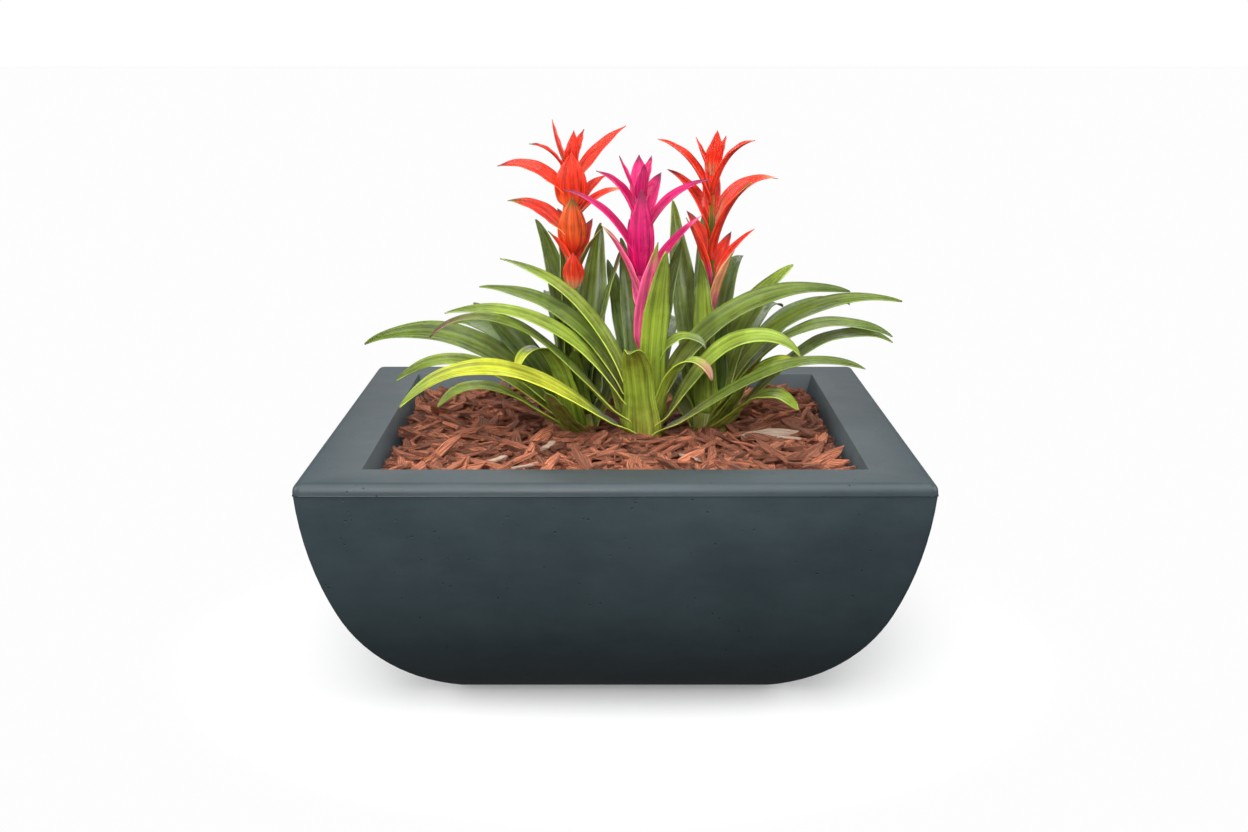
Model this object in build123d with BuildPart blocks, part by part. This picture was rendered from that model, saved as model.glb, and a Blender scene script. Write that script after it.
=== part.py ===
"""Square bowl planter in cast concrete, planted with three bromeliads in bark mulch.

Frame: millimetres, +Z up, -Y towards the front. The origin is on the ground, under the bowl's centre.
The bowl stands on four thin pads. Inside it, from the floor up, lie the drain screen, gravel, filter
fabric, potting soil with three root balls, bark mulch and loose chips. Every plant is a crown of
clasped leaf bases, leaves in two rings, a flower stalk and its coloured bracts.
"""

import os
from math import cos, radians, sin, tan

from build123d import *

# Bowl
RIM_OUTER = 762.0            # square rim, side to side
RIM_FLAT = 73.4              # width of the flat top of the rim
BOWL_HEIGHT = 317.0
FOOT_INSET = 176.5           # from the rim's side in to the side of the square foot
LIP_HEIGHT = 15.0            # upright edge band of the rim
LIP_STEP = 1.2               # the band stands this far proud of the wall
LIP_ROUND = 11.0             # round-over of the rim's top outer edge
WALL_LEAN = 5.0              # degrees from upright, just under the lip
SHOULDER_RADIUS = 530.0      # upper, gentler arc of the wall
SHOULDER_SWEEP = 18.0        # degrees that the upper arc turns
MITRE_RADIUS = 4.5           # softened vertical corners
CAVITY_DRAFT = 19.0          # degrees, inner walls
FLOOR_THICKNESS = 40.0
DRAIN_RADIUS = 14.0

# Pads under the foot
PAD_HEIGHT = 3.0
PAD_RADIUS = 28.0
PAD_INSET = 50.0             # pad centre from the edge of the foot

# Layers inside
GRAVEL_DEPTH = 35.0
FABRIC_THICKNESS = 2.0
MULCH_DEPTH = 29.0           # at the walls
MULCH_DROP = 36.0            # from the rim down to the mulch at the walls
MULCH_CROWN = 8.0            # the bed is this much higher in the middle
MULCH_BANK = 30.0            # width of the slope at the edge of the bed
LAYER_GAP = 0.3              # between a layer and the wall, and round the plants' necks
SCREEN_RADIUS = 38.0
SCREEN_THICKNESS = 2.0
SCREEN_HOLE_RADIUS = 2.5

# Plants
ROOT_RADIUS = 46.0
ROOT_DEPTH = 120.0
ROOT_TAPER = 5.0
CROWN_RADIUS = 26.0
CROWN_TOP_RADIUS = 12.0
CROWN_HEIGHT = 60.0
STALK_RADIUS = 6.0
STALK_TOP_RADIUS = 4.0
SEAT_GAP = 0.4               # leaf base to crown, bract base to stalk
LEAF_THICKNESS = 2.0
BRACT_THICKNESS = 1.6
LEAF_CHANNEL = 0.14          # depth of the gutter, as a share of the half width
BRACT_CHANNEL = 0.22
BASE_CHANNEL = 0.3           # share of that gutter where the leaf leaves the plant
TIP_WIDTH = 2.5
STATIONS = (0, 0.06, 0.13, 0.22, 0.34, 0.47, 0.60, 0.72, 0.83, 0.92, 1)
RIB_STEPS = 60
ROLL_END = 0.35              # share of the length over which a leaf rolls on to its side

# Loose chips
CHIP_LENGTH = 54.0
CHIP_WIDTH = 13.0
CHIP_THICKNESS = 4.5
CHIP_SPREAD = 34.0
CHIP_COUNT = 58
CHIP_CLEAR = 72.0            # bare ground round a plant's axis
PALE_CHIPS = ((212, -48, 74, 26, 8), (-88, -118, 44, 9, 70), (96, -190, 40, 8, 125))

# Levels that follow
BASE_WIDTH = RIM_OUTER - 2 * FOOT_INSET
RIM_TOP = PAD_HEIGHT + BOWL_HEIGHT
LIP_UNDER = RIM_TOP - LIP_HEIGHT
OPENING = RIM_OUTER - 2 * RIM_FLAT
FLOOR_TOP = PAD_HEIGHT + FLOOR_THICKNESS
GRAVEL_TOP = FLOOR_TOP + GRAVEL_DEPTH
FABRIC_TOP = GRAVEL_TOP + FABRIC_THICKNESS
BED_EDGE = RIM_TOP - MULCH_DROP
SOIL_TOP = BED_EDGE - MULCH_DEPTH
GROUND = BED_EDGE + MULCH_CROWN

# Each row: azimuth, height up the crown (leaves) or above the ground (bracts), length, width, rise at
# the base, angle at the tip, how late it bends, and roll on to its side. Millimetres and degrees.
PLANTS = {
    "front_plant": {
        "foot": (40, -25),
        "lean": -0.025,
        "stalk_top": 345,
        "outer_leaves": (
            (209, 2, 378, 28, 39, -48, 2.3, -35),
            (197, 12, 345, 26, 50, -48, 3.2, -20),
            (336, 4, 320, 26, 37, -19, 2.8, 25),
            (344, 8, 268, 34, 62, -58, 2.7, 30),
            (318, 18, 168, 28, 74, -84, 3, 10),
            (258, 4, 176, 38, 78, -14, 3.2, 0),
            (191, 22, 325, 30, 70, -12, 1.2, -25),
            (2, 28, 350, 32, 80, -12, 1, 35),
            (116, 2, 300, 30, 55, -25, 1.6, 0),
            (78, 8, 300, 30, 55, -25, 1.6, 0),
        ),
        "inner_leaves": (
            (174, 34, 292, 32, 76, 0, 1.1, -25),
            (168, 42, 290, 28, 77, 12, 1.2, -15),
            (114, 20, 240, 30, 76, 50, 1.2, 0),
            (297, 33, 238, 33, 86, 70, 1.4, -10),
            (349, 60, 136, 24, 82, -72, 2.6, 20),
            (110, 30, 250, 30, 82, 62, 1.3, 0),
            (46, 38, 240, 28, 84, 64, 1.3, 0),
        ),
        "lower_bracts": (
            (272, 228, 118, 34, 70, 92, 0.7, 0),
            (180, 238, 150, 22, 72, 16, 1.2, -20),
            (204, 190, 122, 34, 76, 48, 1.2, -20),
            (304, 120, 158, 38, 80, 78, 1.2, 10),
            (18, 202, 134, 20, 66, 34, 1.2, 15),
            (90, 240, 120, 28, 72, 35, 1.2, 0),
            (102, 212, 110, 24, 62, 35, 1.2, 0),
            (88, 178, 110, 26, 66, 40, 1.2, 0),
        ),
        "upper_bracts": (
            (186, 334, 58, 20, 62, 72, 1, 0),
            (292, 330, 50, 18, 64, 84, 1, 0),
            (40, 336, 54, 20, 62, 78, 1, 0),
            (186, 288, 100, 28, 78, 22, 1.5, -20),
            (354, 268, 130, 28, 70, 12, 1.3, 20),
            (66, 284, 105, 24, 66, 25, 1.2, 10),
            (90, 312, 90, 24, 66, 40, 1.2, 0),
        ),
    },
    "left_plant": {
        "foot": (-50, 15),
        "lean": -0.035,
        "stalk_top": 385,
        "outer_leaves": (
            (178, 20, 322, 38, 52, -27, 1.5, -34),
            (202, 10, 278, 26, 46, -42, 2.2, -30),
            (219, 4, 238, 26, 37, -46, 3, -20),
            (254, 3, 150, 28, 32, 35, 0.6, -10),
            (230, 16, 190, 34, 80, -80, 2.6, 0),
            (168, 24, 205, 34, 74, 36, 0.6, -45),
            (142, 6, 280, 32, 58, -20, 1.6, -20),
            (102, 8, 320, 32, 62, -20, 1.6, 0),
            (60, 4, 270, 32, 55, -25, 1.6, 0),
        ),
        "inner_leaves": (
            (62, 30, 262, 40, 80, 80, 1.5, 0),
            (12, 44, 226, 26, 84, 72, 0.8, 0),
            (126, 30, 280, 30, 87, 45, 1.8, -15),
            (262, 30, 95, 30, 84, 70, 1.3, 0),
            (98, 18, 270, 32, 74, 35, 1.3, 0),
            (152, 50, 222, 24, 88, 84, 1.3, 0),
        ),
        "lower_bracts": (
            (176, 268, 104, 30, 60, 2, 1.2, -30),
            (352, 292, 86, 24, 60, 8, 1.2, 20),
            (36, 302, 80, 22, 62, 22, 1.2, 10),
            (272, 252, 80, 38, 64, 90, 0.7, 0),
            (215, 232, 64, 22, 66, 45, 1.2, -10),
            (340, 216, 80, 20, 72, 52, 1.2, 10),
            (270, 204, 54, 28, 62, 84, 1, 0),
            (90, 262, 100, 26, 70, 25, 1.2, 0),
            (112, 244, 84, 24, 64, 35, 1.2, 0),
            (64, 224, 90, 24, 66, 35, 1.2, 0),
        ),
        "upper_bracts": (
            (186, 370, 66, 24, 62, 86, 1, 0),
            (292, 360, 62, 20, 64, 88, 1, 0),
            (42, 368, 56, 20, 62, 70, 1, 0),
            (210, 356, 76, 16, 68, 5, 1.2, -20),
            (276, 312, 80, 42, 62, 92, 0.7, 0),
            (178, 322, 114, 28, 62, -15, 1.2, -30),
            (14, 338, 114, 28, 60, 36, 1.2, 20),
            (92, 316, 110, 26, 72, 20, 1.2, 0),
        ),
    },
    "right_plant": {
        "foot": (132, 25),
        "lean": 0.0,
        "stalk_top": 375,
        "outer_leaves": (
            (353, 24, 326, 28, 84, -10, 0.9, 30),
            (336, 16, 308, 38, 71, -24, 1.3, 15),
            (338, 6, 290, 30, 50, -28, 2.9, 25),
            (316, 10, 180, 32, 62, -12, 2.2, 25),
            (306, 2, 185, 30, 44, -40, 2.5, 20),
            (38, 10, 318, 34, 62, -22, 1.6, 10),
            (64, 2, 320, 34, 58, -22, 1.6, 0),
            (95, 12, 310, 32, 62, -22, 1.6, 0),
            (132, 2, 250, 30, 50, -25, 1.6, 0),
        ),
        "inner_leaves": (
            (22, 36, 230, 38, 82, 30, 1.4, 20),
            (64, 46, 238, 30, 86, -5, 2.6, 10),
            (131, 24, 300, 42, 76, 84, 1.8, 0),
            (94, 30, 280, 33, 84, 66, 1.1, 0),
            (232, 30, 215, 32, 90, 86, 1.8, 0),
        ),
        "lower_bracts": (
            (176, 272, 112, 34, 80, 34, 1.2, -20),
            (38, 284, 145, 24, 68, -12, 1, 20),
            (325, 242, 126, 34, 80, 38, 1.3, 20),
            (206, 208, 100, 28, 76, 62, 1.2, -10),
            (0, 206, 96, 22, 70, 38, 1.2, 15),
            (320, 172, 92, 28, 74, 62, 1.2, 10),
            (88, 302, 100, 24, 60, 25, 1.2, 0),
            (120, 230, 95, 24, 66, 35, 1.2, 0),
            (60, 200, 95, 24, 68, 35, 1.2, 0),
        ),
        "upper_bracts": (
            (285, 358, 64, 22, 62, 88, 1, 0),
            (35, 362, 52, 18, 62, 74, 1, 0),
            (165, 362, 50, 18, 62, 74, 1, 0),
            (185, 318, 118, 28, 76, 20, 1.3, -20),
            (335, 332, 98, 32, 76, 14, 1.6, 15),
            (84, 344, 88, 22, 60, 20, 1.2, 0),
        ),
    },
}


def cavity_half(height):
    """Half width of the drafted cavity at a height above the ground."""
    return OPENING / 2 - (RIM_TOP - height) * tan(radians(CAVITY_DRAFT))


def wall_section(plane):
    """Upright section through the bowl's body: two tangent arcs a side, from the lip to the foot."""
    lean = radians(WALL_LEAN)
    top = (RIM_OUTER / 2 - LIP_STEP, LIP_UNDER)
    centre = (top[0] - SHOULDER_RADIUS * cos(lean), top[1] + SHOULDER_RADIUS * sin(lean))
    foot = (BASE_WIDTH / 2, PAD_HEIGHT)
    with BuildSketch(plane) as section:
        with BuildLine():
            shoulder = CenterArc(centre, SHOULDER_RADIUS, -WALL_LEAN, -SHOULDER_SWEEP)
            TangentArc(shoulder @ 1, foot, tangent=shoulder % 1)
            Line(foot, (0, PAD_HEIGHT))
            Line((0, LIP_UNDER), top)
            mirror(about=Plane.YZ)
        make_face()
    return section.sketch


def cavity_square(height, inset=LAYER_GAP):
    """A square across the cavity at a height, held back from the walls."""
    side = 2 * (cavity_half(height) - inset)
    with BuildSketch(Plane.XY.offset(height)) as square:
        Rectangle(side, side)
    return square.sketch


def layer(bottom, top):
    """A slab that fills the cavity between two heights, clear of the walls by the layer gap."""
    extrude(cavity_square(top), amount=bottom - top, taper=CAVITY_DRAFT)


def direction(azimuth, angle):
    """Unit vector at an azimuth, and at an angle above the horizon, in degrees."""
    turn, rise = radians(azimuth), radians(angle)
    return Vector(cos(rise) * cos(turn), cos(rise) * sin(turn), sin(rise))


def blade(axis, seat_radius, row, channel, thickness, width_share):
    """One leaf or bract: a thin gutter lofted along a midrib that bends from its rise to its tip angle."""
    azimuth, height, length, width, rise, tip, bend, roll = row
    along = Vector(cos(radians(azimuth)), sin(radians(azimuth)), 0)
    rib = [axis + along * (seat_radius + SEAT_GAP)]
    for step in range(RIB_STEPS):
        share = (step + 0.5) / RIB_STEPS
        angle = rise + (tip - rise) * share**bend
        rib.append(rib[-1] + direction(azimuth, angle) * (length / RIB_STEPS))
    sections = []
    for share in STATIONS:
        angle = rise + (tip - rise) * share**bend
        ahead = direction(azimuth, angle)
        up = direction(azimuth, angle + 90)
        over = radians(roll) * min(1, share / ROLL_END)
        up = up * cos(over) + ahead.cross(up) * sin(over)
        half = max(width * width_share(share), TIP_WIDTH) / 2
        gutter = channel * half * (BASE_CHANNEL if share == 0 else 1)
        place = Plane(origin=rib[round(share * RIB_STEPS)], x_dir=up.cross(ahead), z_dir=ahead)
        with BuildSketch(place) as section:
            with BuildLine():
                Polyline(
                    (half, gutter), (0, 0), (-half, gutter),
                    (-half, gutter - thickness), (0, -thickness), (half, gutter - thickness),
                    close=True,
                )
            make_face()
        sections.append(section.sketch)
    loft(sections, ruled=True)


def strap_share(share):
    """Width of a leaf along its length: narrow where it clasps, parallel, then drawn out to a point."""
    if share < 0.62:
        return 0.5 + 0.5 * min(1, share / 0.25)
    return ((1 - share) / 0.38) ** 0.62


def boat_share(share):
    """Width of a bract along its length: widest at two fifths, pointed at the tip."""
    if share < 0.4:
        return 0.34 + 0.66 * sin(radians(90) * share / 0.4)
    return 1 - ((share - 0.4) / 0.6) ** 1.6


def axis_at(plant, height):
    """Point on a plant's leaning axis, at a height above the ground inside the bowl."""
    x, y = plant["foot"]
    return Vector(x + plant["lean"] * height, y, GROUND + height)


def stalk_radius(plant, height):
    """Radius of the tapered stalk at a height above the ground inside the bowl."""
    share = (height - CROWN_HEIGHT) / (plant["stalk_top"] - CROWN_HEIGHT)
    return STALK_RADIUS + (STALK_TOP_RADIUS - STALK_RADIUS) * share


def lay_chip(x, y, turn, length, width):
    """One loose chip flat on the bed: a long sliver with slanting ends."""
    with BuildSketch(Plane(origin=(x, y, GROUND), x_dir=direction(turn, 0), z_dir=(0, 0, 1))) as chip:
        with BuildLine():
            Polyline(
                (-0.50 * length, -0.2 * width), (-0.42 * length, 0.5 * width),
                (0.34 * length, 0.42 * width), (0.50 * length, 0.05 * width),
                (0.40 * length, -0.5 * width), (-0.30 * length, -0.42 * width),
                close=True,
            )
        make_face()
    extrude(chip.sketch, amount=CHIP_THICKNESS)


def chip_places():
    """Loose chips on a sunflower spiral, clear of the plants and of the pale chips."""
    for count in range(1, CHIP_COUNT):
        radius = CHIP_SPREAD * count**0.5
        x = radius * cos(radians(137.5 * count))
        y = radius * sin(radians(137.5 * count))
        reach = cavity_half(GROUND) - MULCH_BANK - CHIP_LENGTH / 2
        if max(abs(x), abs(y)) > reach:
            continue
        if any((x - foot[0]) ** 2 + (y - foot[1]) ** 2 < CHIP_CLEAR**2 for foot in feet):
            continue
        if any((x - c[0]) ** 2 + (y - c[1]) ** 2 < ((c[2] + CHIP_LENGTH) / 2) ** 2 for c in PALE_CHIPS):
            continue
        yield x, y, 61 * count


feet = [plant["foot"] for plant in PLANTS.values()]
pieces = {}

# The cast bowl: one section run both ways and intersected gives the mitred corners
with BuildPart() as bowl_shell:
    extrude(wall_section(Plane.XZ), amount=RIM_OUTER / 2, both=True)
    extrude(wall_section(Plane.YZ), amount=RIM_OUTER / 2, both=True, mode=Mode.INTERSECT)
    mitres = [
        edge
        for edge in bowl_shell.edges()
        if abs(abs(edge.center().X) - abs(edge.center().Y)) < 0.01 and edge.bounding_box().size.Z > 1
    ]
    fillet(mitres, MITRE_RADIUS)
    with BuildSketch(Plane.XY.offset(LIP_UNDER)):
        RectangleRounded(RIM_OUTER, RIM_OUTER, LIP_ROUND + 0.5)
    extrude(amount=LIP_HEIGHT)
    fillet(bowl_shell.edges().group_by(Axis.Z)[-1], LIP_ROUND)
    extrude(cavity_square(RIM_TOP, 0), amount=FLOOR_TOP - RIM_TOP, taper=CAVITY_DRAFT, mode=Mode.SUBTRACT)
    with Locations((0, 0, FLOOR_TOP)):
        Hole(DRAIN_RADIUS)
pieces["bowl_shell"] = bowl_shell

# Rubber pads that keep the drain open
with BuildPart() as foot_pads:
    with BuildSketch(Plane.XY):
        with GridLocations(BASE_WIDTH - 2 * PAD_INSET, BASE_WIDTH - 2 * PAD_INSET, 2, 2):
            Circle(PAD_RADIUS)
    extrude(amount=PAD_HEIGHT)
pieces["foot_pads"] = foot_pads

# Mesh disc over the drain
with BuildPart() as drain_screen:
    with BuildSketch(Plane.XY.offset(FLOOR_TOP)):
        Circle(SCREEN_RADIUS)
        with GridLocations(SCREEN_RADIUS / 4, SCREEN_RADIUS / 4, 5, 5):
            Circle(SCREEN_HOLE_RADIUS, mode=Mode.SUBTRACT)
    extrude(amount=SCREEN_THICKNESS)
pieces["drain_screen"] = drain_screen

# Gravel, fabric, soil and mulch, each resting on the one below
with BuildPart() as drainage_gravel:
    layer(FLOOR_TOP, GRAVEL_TOP)
    with BuildSketch(Plane.XY.offset(FLOOR_TOP)):
        Circle(SCREEN_RADIUS + LAYER_GAP)
    extrude(amount=SCREEN_THICKNESS, mode=Mode.SUBTRACT)
pieces["drainage_gravel"] = drainage_gravel

with BuildPart() as filter_fabric:
    layer(GRAVEL_TOP, FABRIC_TOP)
pieces["filter_fabric"] = filter_fabric

with BuildPart() as potting_soil:
    layer(FABRIC_TOP, SOIL_TOP)
    with BuildSketch(Plane.XY.offset(SOIL_TOP)):
        with Locations(*feet):
            Circle(ROOT_RADIUS + LAYER_GAP)
    extrude(amount=-ROOT_DEPTH, taper=ROOT_TAPER, mode=Mode.SUBTRACT)
pieces["potting_soil"] = potting_soil

with BuildPart() as bark_mulch:
    layer(SOIL_TOP, BED_EDGE)
    loft([cavity_square(BED_EDGE), cavity_square(GROUND, MULCH_BANK)], ruled=True)
    with BuildSketch(Plane.XY.offset(SOIL_TOP)):
        with Locations(*feet):
            Circle(CROWN_RADIUS + LAYER_GAP)
    extrude(amount=GROUND - SOIL_TOP, mode=Mode.SUBTRACT)
pieces["bark_mulch"] = bark_mulch


# Loose chips lying on the bed
with BuildPart() as bark_chips:
    for chip_x, chip_y, turn in chip_places():
        lay_chip(chip_x, chip_y, turn, CHIP_LENGTH, CHIP_WIDTH)
pieces["bark_chips"] = bark_chips

with BuildPart() as pale_chips:
    for chip_x, chip_y, length, width, turn in PALE_CHIPS:
        lay_chip(chip_x, chip_y, turn, length, width)
pieces["pale_chips"] = pale_chips

# The three plants
for name, plant in PLANTS.items():
    foot = Vector(*plant["foot"], 0)
    with BuildPart() as root_ball:
        with BuildSketch(Plane.XY.offset(SOIL_TOP)):
            with Locations(foot):
                Circle(ROOT_RADIUS)
        extrude(amount=-ROOT_DEPTH + LAYER_GAP, taper=ROOT_TAPER)
    pieces[f"{name}_root_ball"] = root_ball

    with BuildPart() as crown:
        with BuildSketch(Plane.XY.offset(SOIL_TOP)):
            with Locations(foot):
                Circle(CROWN_RADIUS)
        extrude(amount=GROUND - SOIL_TOP)
        with BuildSketch(Plane(axis_at(plant, 0))):
            Circle(CROWN_RADIUS)
        with BuildSketch(Plane(axis_at(plant, CROWN_HEIGHT))):
            Circle(CROWN_TOP_RADIUS)
        loft()
    pieces[f"{name}_crown"] = crown

    with BuildPart() as flower_stalk:
        with BuildSketch(Plane(axis_at(plant, CROWN_HEIGHT))):
            Circle(STALK_RADIUS)
        with BuildSketch(Plane(axis_at(plant, plant["stalk_top"]))):
            Circle(STALK_TOP_RADIUS)
        loft()
    pieces[f"{name}_flower_stalk"] = flower_stalk

    for ring in ("outer_leaves", "inner_leaves"):
        with BuildPart() as leaves:
            for row in plant[ring]:
                height = row[1]
                radius = CROWN_RADIUS + (CROWN_TOP_RADIUS - CROWN_RADIUS) * height / CROWN_HEIGHT
                blade(axis_at(plant, height), radius, row, LEAF_CHANNEL, LEAF_THICKNESS, strap_share)
        pieces[f"{name}_{ring}"] = leaves

    for ring in ("lower_bracts", "upper_bracts"):
        with BuildPart() as bracts:
            for row in plant[ring]:
                radius = stalk_radius(plant, row[1])
                blade(axis_at(plant, row[1]), radius, row, BRACT_CHANNEL, BRACT_THICKNESS, boat_share)
        pieces[f"{name}_{ring}"] = bracts

os.makedirs("parts", exist_ok=True)
for name, piece in pieces.items():
    piece.part.label = name
    export_step(piece.part, f"parts/{name}.step")
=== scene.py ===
"""Square concrete planter bowl with bark mulch and three flowering bromeliads.

The sections follow the planter as it is put together: the cast bowl and what stays inside it, the
mulch and its loose chips, the leaves and bracts of the three plants, then the room and the camera.
"""

import random
from math import atan2, copysign, cos, degrees, hypot, pi, radians, sin, tan

import bmesh
import bpy
from mathutils import Matrix, Vector, noise


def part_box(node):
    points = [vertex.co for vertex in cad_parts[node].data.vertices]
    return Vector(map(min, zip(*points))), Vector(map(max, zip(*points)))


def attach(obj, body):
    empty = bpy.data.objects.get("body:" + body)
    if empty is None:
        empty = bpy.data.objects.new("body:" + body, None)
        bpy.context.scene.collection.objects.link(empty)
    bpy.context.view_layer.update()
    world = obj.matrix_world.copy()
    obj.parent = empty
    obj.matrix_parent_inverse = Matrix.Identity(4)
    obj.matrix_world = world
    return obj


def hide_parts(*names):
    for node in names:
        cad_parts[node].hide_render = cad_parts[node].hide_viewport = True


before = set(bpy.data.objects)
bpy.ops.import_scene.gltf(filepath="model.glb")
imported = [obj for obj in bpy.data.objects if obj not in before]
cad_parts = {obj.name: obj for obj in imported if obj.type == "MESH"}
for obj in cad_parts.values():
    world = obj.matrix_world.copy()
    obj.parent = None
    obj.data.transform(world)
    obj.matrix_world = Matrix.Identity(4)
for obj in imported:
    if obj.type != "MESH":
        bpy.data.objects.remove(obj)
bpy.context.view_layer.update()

# ---------------------------------------------------------------------------------------------
# The bowl. Cast concrete, one pour in a smooth mould: a square foot, walls that swell outwards in
# two arcs, a low upright band round the rim, a flat rim and a tapered hollow with sharp creases.
# ---------------------------------------------------------------------------------------------


class Flow:
    """A value or colour on its way through a finish, which adds and multiplies like a number."""

    def __init__(self, tree, socket):
        self.tree = tree
        self.socket = socket

    def node(self, kind, inputs, output=0, **settings):
        """Any node, fed with numbers, tuples or flows, as the flow from one of its outputs."""
        made = self.tree.nodes.new(kind)
        for name, value in settings.items():
            setattr(made, name, value)
        for name, value in inputs.items():
            if isinstance(value, Flow):
                self.tree.links.new(value.socket, made.inputs[name])
            else:
                made.inputs[name].default_value = value
        return Flow(self.tree, made.outputs[output])

    def math(self, operation, first, second):
        return self.node("ShaderNodeMath", {0: first, 1: second}, operation=operation)

    def size(self):
        """How far this value is from 0, either way."""
        return self.math("ABSOLUTE", self, 0)

    def __add__(self, other):
        return self.math("ADD", self, other)

    def __radd__(self, other):
        return self.math("ADD", other, self)

    def __sub__(self, other):
        return self.math("SUBTRACT", self, other)

    def __rsub__(self, other):
        return self.math("SUBTRACT", other, self)

    def __mul__(self, other):
        return self.math("MULTIPLY", self, other)

    def __rmul__(self, other):
        return self.math("MULTIPLY", other, self)

    def ramp(self, start, end):
        """0 below start, 1 above end, and a smooth rise between them."""
        stops = {0: self, 1: start, 2: end}
        return self.node("ShaderNodeMapRange", stops, interpolation_type="SMOOTHSTEP")

    def tint(self, low, high):
        """Colour from low to high as this value goes from 0 to 1."""
        return self.node("ShaderNodeMix", {0: self, 6: low, 7: high}, output=2, data_type="RGBA")

    def shade(self, amount):
        """This colour darkened or lightened by a value."""
        return self.node("ShaderNodeVectorMath", {0: self, "Scale": amount}, operation="SCALE")

    def noise(self, scale, detail=3.0, rough=0.5):
        inputs = {"Vector": self, "Scale": scale, "Detail": detail, "Roughness": rough}
        return self.node("ShaderNodeTexNoise", inputs)

    def cells(self, scale, output="Distance"):
        """Distance from the nearest of many scattered points, or a colour for each."""
        return self.node("ShaderNodeTexVoronoi", {"Vector": self, "Scale": scale}, output=output)

    def stretch(self, x, y, z):
        """This place with each direction scaled on its own."""
        return self.node("ShaderNodeMapping", {"Vector": self, "Scale": (x, y, z)})


class Finish:
    """A procedural material on one Principled shader."""

    def __init__(self, name, **even):
        self.material = bpy.data.materials.new(name)
        self.material.use_nodes = True
        self.tree = self.material.node_tree
        self.shader = self.tree.nodes["Principled BSDF"]
        for socket, value in even.items():
            self.shader.inputs[socket.replace("_", " ")].default_value = value

    def source(self, kind, output, **settings):
        return Flow(self.tree, None).node(kind, {}, output, **settings)

    def place(self):
        return self.source("ShaderNodeTexCoord", "Object")

    def uv(self):
        return self.source("ShaderNodeTexCoord", "UV")

    def stored(self, name, output="Color"):
        return self.source("ShaderNodeAttribute", output, attribute_name=name)

    def paint(self, **flows):
        for socket, flow in flows.items():
            self.tree.links.new(flow.socket, self.shader.inputs[socket.replace("_", " ")])

    def bump(self, height, distance):
        """Relief, where a height of 1 stands proud by the distance."""
        inputs = {"Height": height, "Distance": distance, "Strength": 1.0}
        self.paint(Normal=height.node("ShaderNodeBump", inputs))


def settle(bm, name, material, *stands_for):
    """Turns a bmesh into a finished piece that rides on the planter in place of CAD nodes."""
    mesh = bpy.data.meshes.new(name)
    bm.to_mesh(mesh)
    bm.free()
    mesh.materials.append(material)
    piece = bpy.data.objects.new(name, mesh)
    bpy.context.scene.collection.objects.link(piece)
    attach(piece, "root")
    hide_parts(*stands_for)
    return piece


def only(items, kind):
    """The elements of one kind in what an operator returned."""
    return [item for item in items if isinstance(item, kind)]


def crease(bm, angle):
    """Smooth shading, with every edge sharper than the angle left crisp."""
    for face in bm.faces:
        face.smooth = True
    for edge in bm.edges:
        edge.smooth = edge.calc_face_angle(0) < radians(angle)


BOWL_LOW, BOWL_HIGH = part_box("bowl_shell")
RIM_HALF = BOWL_HIGH[0]
RIM_TOP = BOWL_HIGH[2]
BASE_HALF = 0.2045
RIM_FLAT = 0.0734
LIP_HEIGHT = 0.015
LIP_STEP = 0.0012
LIP_ROUND = 0.011
WALL_LEAN = radians(5)
SHOULDER_RADIUS = 0.530
SHOULDER_SWEEP = radians(18)
UPPER_STEPS = 8
LOWER_STEPS = 14
MITRE_ROUND = 0.0045
CAVITY_SLOPE = tan(radians(19))
FLOOR_TOP = BOWL_LOW[2] + 0.040
DRAIN_RADIUS = 0.014
NEAR = 0.00005
FOOT_LEVEL = BOWL_LOW[2]
LIP_UNDER = RIM_TOP - LIP_HEIGHT
LIP_SHADOW_LINE = 0.0005
RIM_INNER_ROUND = 0.0012
FOOT_ROUND = 0.0025
SHARP = 0.2
MITRE_SHARP = 0.3
SMOOTH_BELOW = 24


def cavity_half(height):
    """Half width of the hollow at a height above the ground."""
    return RIM_HALF - RIM_FLAT - (RIM_TOP - height) * CAVITY_SLOPE


def wall_rings():
    """Half width and height of the wall, from the foot up: the lower arc, then the upper one."""
    top = Vector((RIM_HALF - LIP_STEP, RIM_TOP - LIP_HEIGHT))
    centre = top + SHOULDER_RADIUS * Vector((-cos(WALL_LEAN), sin(WALL_LEAN)))
    upper = []
    for step in range(UPPER_STEPS + 1):
        angle = WALL_LEAN + SHOULDER_SWEEP * step / UPPER_STEPS
        upper.append(centre + SHOULDER_RADIUS * Vector((cos(angle), -sin(angle))))
    inwards = (centre - upper[-1]).normalized()
    foot = Vector((BASE_HALF, BOWL_LOW[2]))
    reach = foot - upper[-1]
    radius = reach.length_squared / (2 * reach.dot(inwards))
    hub = upper[-1] + inwards * radius
    start = atan2(upper[-1].y - hub.y, upper[-1].x - hub.x)
    end = atan2(foot.y - hub.y, foot.x - hub.x)
    lower = []
    for step in range(1, LOWER_STEPS + 1):
        angle = start + (end - start) * step / LOWER_STEPS
        lower.append(hub + radius * Vector((cos(angle), sin(angle))))
    return lower[::-1] + upper[::-1]


def raise_ring(bm, cap, half, height):
    """Pulls the square cap of the growing bowl out to its next half width and height."""
    foot = len(bm.faces) == 1
    grown = bmesh.ops.extrude_face_region(bm, geom=[cap])["geom"]
    for vert in only(grown, bmesh.types.BMVert):
        vert.co = (copysign(half, vert.co.x), copysign(half, vert.co.y), height)
    if cap.is_valid and not foot:
        bmesh.ops.delete(bm, geom=[cap], context="FACES_ONLY")
    return only(grown, bmesh.types.BMFace)[0]


def soften(bm, edges, radius, segments):
    """Rounds edges off."""
    bmesh.ops.bevel(
        bm, geom=edges, offset=radius, segments=segments, profile=0.5, affect="EDGES", material=-1
    )


def climbs(edge):
    """Whether an edge rises or falls, rather than lying level."""
    return abs(edge.verts[0].co.z - edge.verts[1].co.z) > NEAR


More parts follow.
